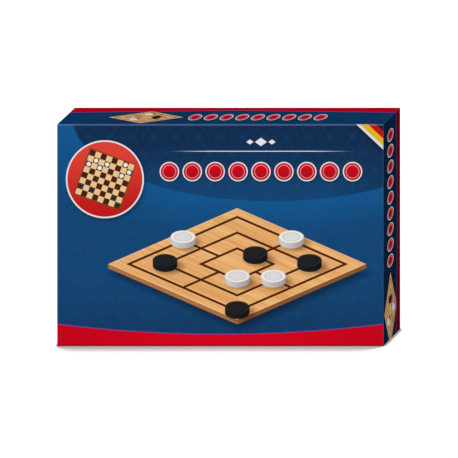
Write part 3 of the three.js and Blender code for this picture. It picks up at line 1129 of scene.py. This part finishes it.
DISC_SEGMENTS = 48
DISC_INPUTS = {
    "Diameter": 32 * MM,
    "Thickness": 8 * MM,
    "Ring Width": 3.2 * MM,
    "Dish Depth": 0.7 * MM,
    "Edge Round": 0.8 * MM,
    "Groove Radius": 6.5 * MM,
    "Turn": 0.0,
}
GROOVE = ((-0.6, 0), (-0.2, 0.3), (0.2, 0.3), (0.6, 0))  # places and depths, in millimetres
RING_SLOPE = ((-0.9, 1), (-0.4, 0.75), (-0.1, 0.2), (0.3, 0))  # in mm, and in shares of the dish
EDGE_STEPS = 3


def disc_profile(diameter, thickness, ring, dish, edge, groove):
    """Half of a disc's outline, from the middle of a face to the middle of its side."""
    radius, half = diameter / 2, thickness / 2
    points = [(radius * 0, half - dish)]
    points += [(groove + aside * MM, half - dish - depth * MM) for aside, depth in GROOVE]
    points += [(radius - ring + aside * MM, half - dish * share) for aside, share in RING_SLOPE]
    points += [(radius - rise, half - fall) for rise, fall in rounding(edge, EDGE_STEPS)]
    points += [(radius, half * 0.16), (radius - 0.3 * MM, half * 0.06)]
    return points


def turned_disc_tree():
    """Geometry nodes for one turned disc about Y, closed at its seam and poles."""
    tree = bpy.data.node_groups.new("turned_disc", "GeometryNodeTree")
    for label, default in DISC_INPUTS.items():
        socket = tree.interface.new_socket(label, in_out="INPUT", socket_type="NodeSocketFloat")
        socket.default_value = default
    tree.interface.new_socket("Centre", in_out="INPUT", socket_type="NodeSocketVector")
    tree.interface.new_socket("Finish", in_out="INPUT", socket_type="NodeSocketMaterial")
    tree.interface.new_socket("Geometry", in_out="OUTPUT", socket_type="NodeSocketGeometry")
    start = tree.nodes.new("NodeGroupInput")
    given = {socket.name: Wire(socket) for socket in start.outputs if socket.name}
    half_profile = disc_profile(*[given[label] for label in DISC_INPUTS if label != "Turn"])
    profile = half_profile + [(radius, -height) for radius, height in reversed(half_profile)]
    count = len(profile)
    index = Wire(tree.nodes.new("GeometryNodeInputIndex").outputs[0])
    row = index % float(count)
    column = floor_of(index / float(count) + 0.001)

    def chosen(values):
        switch = added(tree, "GeometryNodeIndexSwitch", {"data_type": "FLOAT"})
        while len(switch.index_switch_items) < count:
            switch.index_switch_items.new()
        feed(switch.inputs["Index"], row)
        for place, value in enumerate(values):
            feed(switch.inputs[str(place)], value)
        return Wire(switch.outputs[0])

    radii, heights = zip(*profile)
    radius = chosen(radii)
    angle = column * (2 * math.pi / DISC_SEGMENTS) + given["Turn"]
    spot = joined(radius * cosine(angle), chosen(heights), radius * sine(angle))
    grid_size = {"Vertices_X": DISC_SEGMENTS + 1, "Vertices_Y": count}
    share = {"Name": "turning", "Value": radius / (given["Diameter"] / 2)}
    on_points = {"data_type": "FLOAT", "domain": "POINT"}
    steps = (
        ("GeometryNodeSetPosition", {}, {"Position": vector_maths("ADD", spot, given["Centre"])}),
        ("GeometryNodeStoreNamedAttribute", on_points, share),
        ("GeometryNodeMergeByDistance", {}, {"Distance": 0.002 * MM}),
        ("GeometryNodeRealizeInstances", {}, {}),
        ("GeometryNodeSetMaterial", {}, {"Material": given["Finish"]}),
    )
    geometry = Wire(added(tree, "GeometryNodeMeshGrid", **grid_size).outputs["Mesh"])
    for kind, settings, values in steps:
        node = added(tree, kind, settings, Geometry=geometry, **values)
        geometry = Wire(node.outputs["Geometry"])
    added(tree, "NodeGroupOutput", Geometry=geometry)
    return tree


def plain_mesh_from(tree, values, name):
    """The mesh that a geometry nodes tree makes with these input values."""
    blank = added_object("blank", bpy.data.meshes.new("blank"))
    modifier = blank.modifiers.new("shape", "NODES")
    modifier.node_group = tree
    for item in tree.interface.items_tree:
        if item.item_type == "SOCKET" and item.in_out == "INPUT" and item.name in values:
            modifier[item.identifier] = values[item.name]
    graph = bpy.context.evaluated_depsgraph_get()
    graph.update()
    mesh = bpy.data.meshes.new_from_object(blank.evaluated_get(graph))
    mesh.name = name
    bpy.data.objects.remove(blank)
    return mesh


def make_discs():
    tree = turned_disc_tree()
    rng = random.Random(24)
    for node in sorted(slot_of):
        if "_disc_" not in node or node.endswith("insert"):
            continue
        low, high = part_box(node)
        paint = disc_paints[node.split("_")[0]]
        values = {
            "Diameter": high.x - low.x,
            "Thickness": high.y - low.y,
            "Turn": rng.uniform(0, 2 * math.pi),
            "Centre": (low + high) / 2,
            "Finish": paint,
        }
        maker = bmesh.new()
        maker.from_mesh(plain_mesh_from(tree, values, node))
        turned_out(maker)
        new_piece(f"turned_{node}", maker, node, [paint], node, sharp=38)


make_discs()

# ---- the board and the leaflet


def from_fold(place):
    """Across the board and away from its fold, in millimetres."""
    x, _, z = split(place)
    return x, abs(z - FOLD_Z)


def printed_card(name, draw):
    """A printed and varnished sheet on grey board, rubbed at its outer edges."""

    @finish(name, 0.45, 0.3, relief=0.05 * MM)
    def card(place):
        height, fibres = paper(place, 0.3)
        x, away = from_fold(place)
        edge = least(BOARD_REACH - abs(x), BOARD_REACH - away)
        worn = inside(edge / 1.2 - ramp(noise(place, 0.3, 4, 0.65), 0.42, 0.8), 0.6)
        return {
            "Base Color": mixed(worn * 0.45, draw(place), ink(236, 214, 180)),
            "Roughness": 0.42 + fibres * 0.1,
            "Height": height,
        }

    return card


MILL_HALF, FRAME_HALF = 140, 154  # half sides of the outer square and of the line round it
PLANK = 40  # width of a plank
CHECK = 35.0  # side of a draughts square
CHECKS_HALF, INLAY_HALF = 140, 142.5  # half sides of the draughts squares and of the inlaid line


def morris_colour(place):
    """Wooden planks with the lines of nine men's morris."""
    x, away = from_fold(place)
    tint = chance(joined(floor_of(x / PLANK), 7.0))
    spot = joined(away + tint * 400, x, tint * 60)
    planks = mixed(tint * 0.25, wooden(spot, ink(240, 188, 130)), ink(206, 150, 94))
    line = mill(x / MILL_HALF, away / MILL_HALF, 0.028)
    frame_line = inside(abs(greatest(abs(x), away) - FRAME_HALF) - 0.6)
    return mixed(greatest(line, frame_line), planks, DARK_LINE)


def draughts_colour(place):
    """A draughts board of light and dark wood, with an inlaid line and a rail round it."""
    x, away = from_fold(place)
    _, y, _ = split(place)
    along = away * (exceeds(y, FOLD_Y) * 2 - 1)
    column, row = x / CHECK, along / CHECK
    cell = chance(joined(floor_of(column), floor_of(row)))
    spot = joined(away + cell * 500, x + cell * 90, cell * 70)
    light = wooden(spot, ink(240, 206, 152), ink(218, 174, 116))
    dark = wooden(spot, ink(122, 66, 34), ink(82, 38, 18))
    field = mixed(checks(column, row), light, dark)
    rail = wooden(joined(x, away), ink(136, 76, 40), ink(96, 48, 24))
    out = greatest(abs(x), away)
    inlay = inside(abs(out - INLAY_HALF) - 0.7)
    return layered(rail, (inside(out - CHECKS_HALF, 0.3), field), (inlay, ink(236, 196, 140)))


@finish("printed_linen", 0.75, 0.25, relief=0.06 * MM, strength=0.7)
def printed_linen(place):
    """The hinge tape: fine linen, printed over with the board's pattern."""
    x, away = from_fold(place)
    weave = sine(x * 9) * sine(away * 9)
    colour = mixed(abs(weave) * 0.22, morris_colour(place), ink(170, 118, 70))
    return {"Base Color": colour, "Height": weave}


LEAFLET_MIDDLE = 148.0  # height of the leaflet's middle
DIAGRAM_ASIDE, DIAGRAM_HALF = 50.0, 34.0  # a diagram's place and half side
DIAGRAM_CHECK = 9.0  # side of a small draughts square
BAR_UP, BAR_REACH = 58.0, 92.0  # of the bars above and below the diagrams


@finish("leaflet_paper", 0.85, 0.25, relief=0.06 * MM)
def leaflet_paper(place):
    """Uncoated paper with two small board diagrams and plain rules."""
    x, _, z = split(place)
    up = z - LEAFLET_MIDDLE
    fibres = paper(place, 0.8)[1]
    line = mill((x + DIAGRAM_ASIDE) / DIAGRAM_HALF, up / DIAGRAM_HALF, 0.05)
    along = x - DIAGRAM_ASIDE
    squares = checks(along / DIAGRAM_CHECK, up / DIAGRAM_CHECK)
    out = greatest(abs(along), abs(up)) - DIAGRAM_CHECK * 4
    diagrams = greatest(line, squares * inside(out), inside(abs(out) - 0.5))
    bars = inside(abs(abs(up) - BAR_UP) - 2) * inside(abs(x) - BAR_REACH)
    colour = layered(
        ink(246, 244, 238),
        (fibres * 0.3, ink(230, 227, 218)),
        (diagrams * 0.85, ink(30, 44, 80)),
        (bars, ink(196, 30, 44)),
    )
    return {"Base Color": colour, "Height": fibres}


def make_hinge_tape():
    """A strip that lies shut like a U between the two halves of the board."""
    low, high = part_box("board_hinge_tape")
    thickness, slack = 0.25 * MM, 0.02 * MM
    leg_steps, bend_steps, stations = 6, 8, 40
    bend, middle_y = (high.y - low.y) / 2, (high.y + low.y) / 2
    top = high.z - bend
    leg = [low.z + (top - low.z) * step / leg_steps for step in range(leg_steps + 1)]
    profile = [(low.y, z) for z in leg]
    profile += arc(middle_y, top, bend, 180, 0, bend_steps)[1:-1]
    profile += [(high.y, z) for z in reversed(leg)]
    inner = []
    for y, z in profile:
        over = max(z - top, 0)
        away = Vector((y - middle_y, over))
        drawn = away - away.normalized() * thickness
        inner.append((middle_y + drawn.x, z - over + drawn.y))
    maker = bmesh.new()
    loops = []
    for station in range(stations + 1):
        x = low.x + (high.x - low.x) * station / stations
        loops.append([maker.verts.new((x, y, z)) for y, z in profile + inner[::-1]])
    for first, second in zip(loops, loops[1:]):
        walls(maker, first, second)
    maker.faces.new(loops[0])
    maker.faces.new(loops[-1])
    turned_out(maker)
    piece = new_piece("linen_hinge", maker, "board_hinge_tape", [printed_linen], None)
    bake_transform(piece)


board_cards = {
    "morris": printed_card("morris_card", morris_colour),
    "draughts": printed_card("draughts_card", draughts_colour),
}
for side, card in board_cards.items():
    dress(f"board_front_{side}_sheet", card)
    dress(f"board_rear_{side}_sheet", card)
make_hinge_tape()
dress("rules_leaflet", leaflet_paper)

# ---- floor, light and camera


def seen_directly(tree):
    """1 for rays from the camera, and for those that gloss and clear things pass on."""
    path = tree.nodes.new("ShaderNodeLightPath")
    rays = ("Is Camera Ray", "Is Glossy Ray", "Is Transmission Ray")
    return greatest(*[Wire(path.outputs[ray]) for ray in rays])


def openness(tree, reach, closed, free, normal=None):
    """0 where something stands within reach of the floor, 1 where nothing does."""
    node = added(tree, "ShaderNodeAmbientOcclusion", Distance=reach)
    if normal:
        # a plain value on this socket has no effect, so the direction comes from a node
        feed(node.inputs["Normal"], worked_out("ShaderNodeCombineXYZ", {}, normal, tree)[0])
    return ramp(Wire(node.outputs["AO"]), closed, free)


@finish("pale_floor", 1.0, 0.0, Emission_Color=(1, 1, 1, 1))
def pale_floor(place):
    """White to the camera, apart from the soft shadow round the box's foot."""
    seen = seen_directly(place.tree)
    contact = openness(place.tree, 7 * MM, 0.68, 0.92)
    before_lid = openness(place.tree, 36 * MM, 0.33, 0.58, normal=(0, 0.8, 0.6))
    glow = seen * (contact * before_lid * 0.75 + 0.2)
    return {"Base Color": 0.86 - seen * 0.46, "Emission Strength": glow}


def stage_floor():
    maker = bmesh.new()
    bmesh.ops.create_grid(maker, x_segments=1, y_segments=1, size=60)
    mesh = mesh_of(maker, "floor")
    mesh.materials.append(pale_floor)
    added_object("floor", mesh)


def light_world():
    """Plain even light, white to the camera, and one soft lamp from the front and above."""
    world = bpy.data.worlds.new("studio")
    scene.world = world
    world.use_nodes = True
    background = world.node_tree.nodes["Background"]
    background.inputs["Color"].default_value = (1, 1, 1, 1)
    feed(background.inputs["Strength"], seen_directly(world.node_tree) * 0.45 + 0.55)
    sun = added_object("key_light", bpy.data.lights.new("key_light", "SUN"))
    sun.data.energy = 1.25
    sun.data.angle = math.radians(40)
    direction = Vector((-0.12, -0.8, 0.55))
    sun.rotation_euler = direction.to_track_quat("Z", "Y").to_euler()


def aim_camera():
    """The photograph shows the lid's face square on, with the top and the right wall receding up
    and to the right. So the camera looks along a slanted line, with its picture plane upright."""
    lens, sensor, picture_width = 1200, 36, 0.54
    line = Vector((-0.5, 1, -0.49))
    middle = Vector((0.0104, -0.021, 0.1384))
    back = -line.normalized()
    spot = middle + back * (picture_width * lens / sensor)
    camera = added_object("camera", bpy.data.cameras.new("camera"))
    camera.data.lens = lens
    camera.data.sensor_width = sensor
    camera.data.clip_end = 100
    camera.parent = added_object("camera_rig")
    camera.matrix_parent_inverse = Matrix(
        (
            (1, 0, back.x, spot.x),
            (0, 0, back.y, spot.y),
            (0, 1, back.z, spot.z),
            (0, 0, 0, 1),
        )
    )
    scene.camera = camera


stage_floor()
light_world()
aim_camera()
scene.view_settings.view_transform = "Standard"
